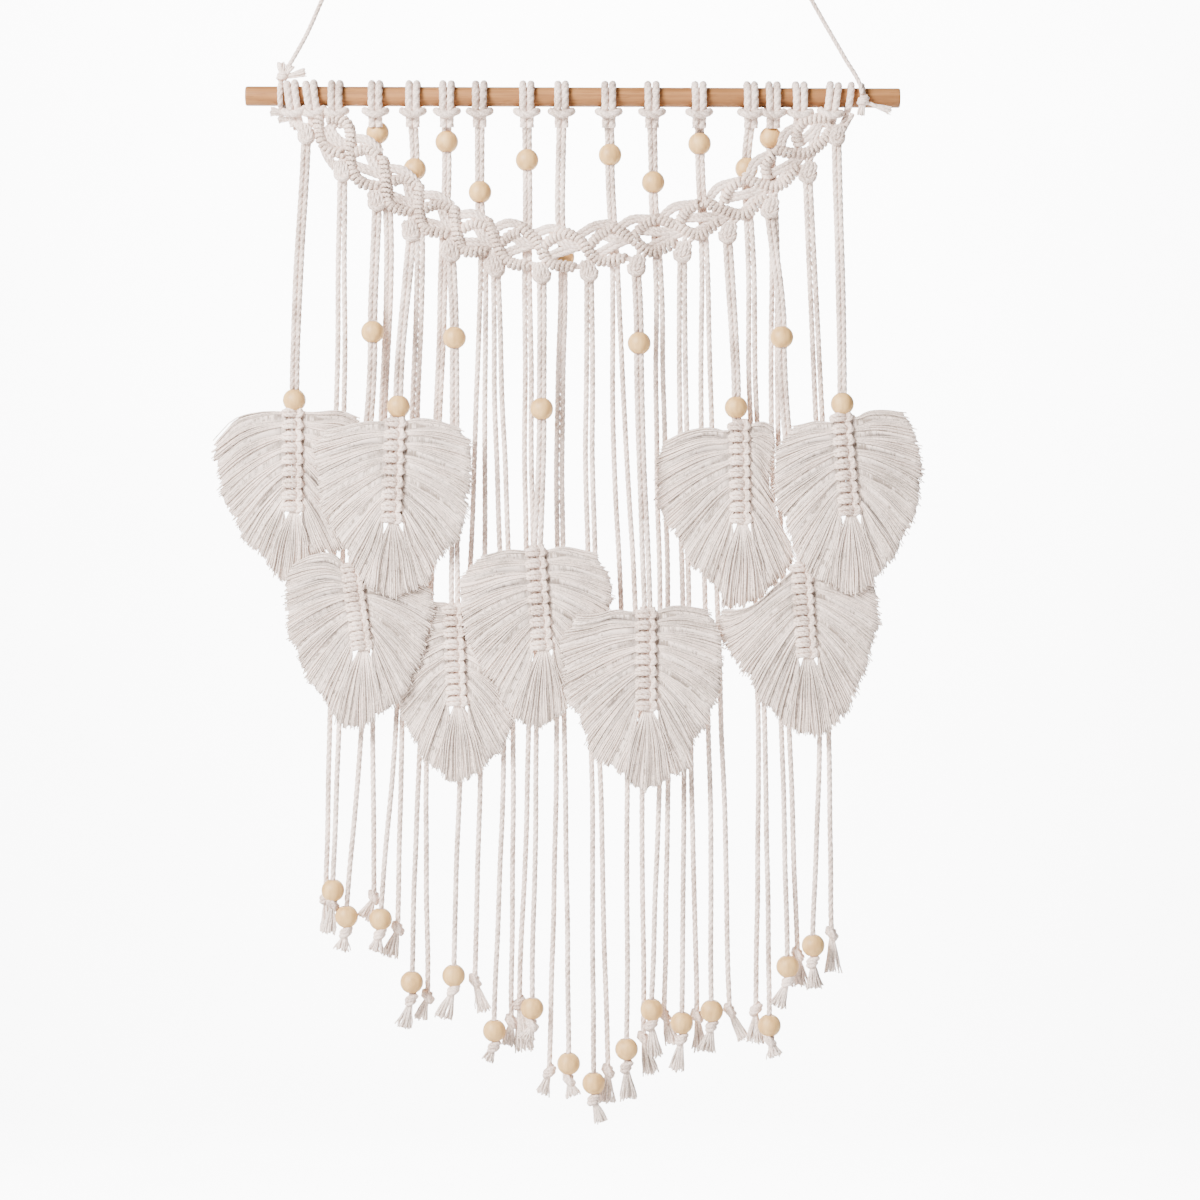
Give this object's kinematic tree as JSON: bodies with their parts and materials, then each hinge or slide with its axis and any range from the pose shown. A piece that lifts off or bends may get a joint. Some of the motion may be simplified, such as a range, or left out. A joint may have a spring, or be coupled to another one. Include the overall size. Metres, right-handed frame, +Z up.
{
  "type": "macrame wall hanging on a wooden rod",
  "caption": "Bead-trimmed macrame wall hanging: a knotted swag, long cords and fringed leaves on a round wooden rod, hung by a cord tied near its ends.",
  "frame": {"origin": "midway between the tops of the two hanging loops, where the hanger is held", "axes": "+Z up, +X to the right as seen from the front, the front faces -Y and the wall is on the +Y side"},
  "size_m": [0.5389, 0.0417, 0.8991],
  "materials": {
    "cotton": "matte twisted cotton",
    "beech": "satin",
    "pale_wood": "satin"
  },
  "bodies": {
    "root": {"rod": "beech", "macrame": "cotton", "leaf_1": "cotton", "leaf_2": "cotton", "leaf_3": "cotton", "leaf_4": "cotton", "leaf_5": "cotton", "leaf_6": "cotton", "leaf_7": "cotton", "leaf_8": "cotton", "leaf_9": "cotton", "tie_left": "cotton", "tie_right": "cotton", "hanger_left": "cotton", "hanger_right": "cotton", "loop_left": "cotton", "loop_right": "cotton", "bead_01": "pale_wood", "bead_02": "pale_wood", "bead_03": "pale_wood", "bead_04": "pale_wood", "bead_05": "pale_wood", "bead_06": "pale_wood", "bead_07": "pale_wood", "bead_08": "pale_wood", "bead_09": "pale_wood", "bead_10": "pale_wood", "bead_11": "pale_wood", "bead_12": "pale_wood", "bead_13": "pale_wood", "bead_14": "pale_wood", "bead_15": "pale_wood", "bead_16": "pale_wood", "bead_17": "pale_wood", "bead_18": "pale_wood", "bead_19": "pale_wood", "bead_20": "pale_wood", "bead_21": "pale_wood", "bead_22": "pale_wood", "bead_23": "pale_wood", "bead_24": "pale_wood", "bead_25": "pale_wood", "bead_26": "pale_wood", "bead_27": "pale_wood", "bead_28": "pale_wood", "bead_29": "pale_wood", "bead_30": "pale_wood", "bead_31": "pale_wood", "bead_32": "pale_wood", "bead_33": "pale_wood", "bead_34": "pale_wood", "bead_35": "pale_wood", "bead_36": "pale_wood"}
  },
  "joints": []
}
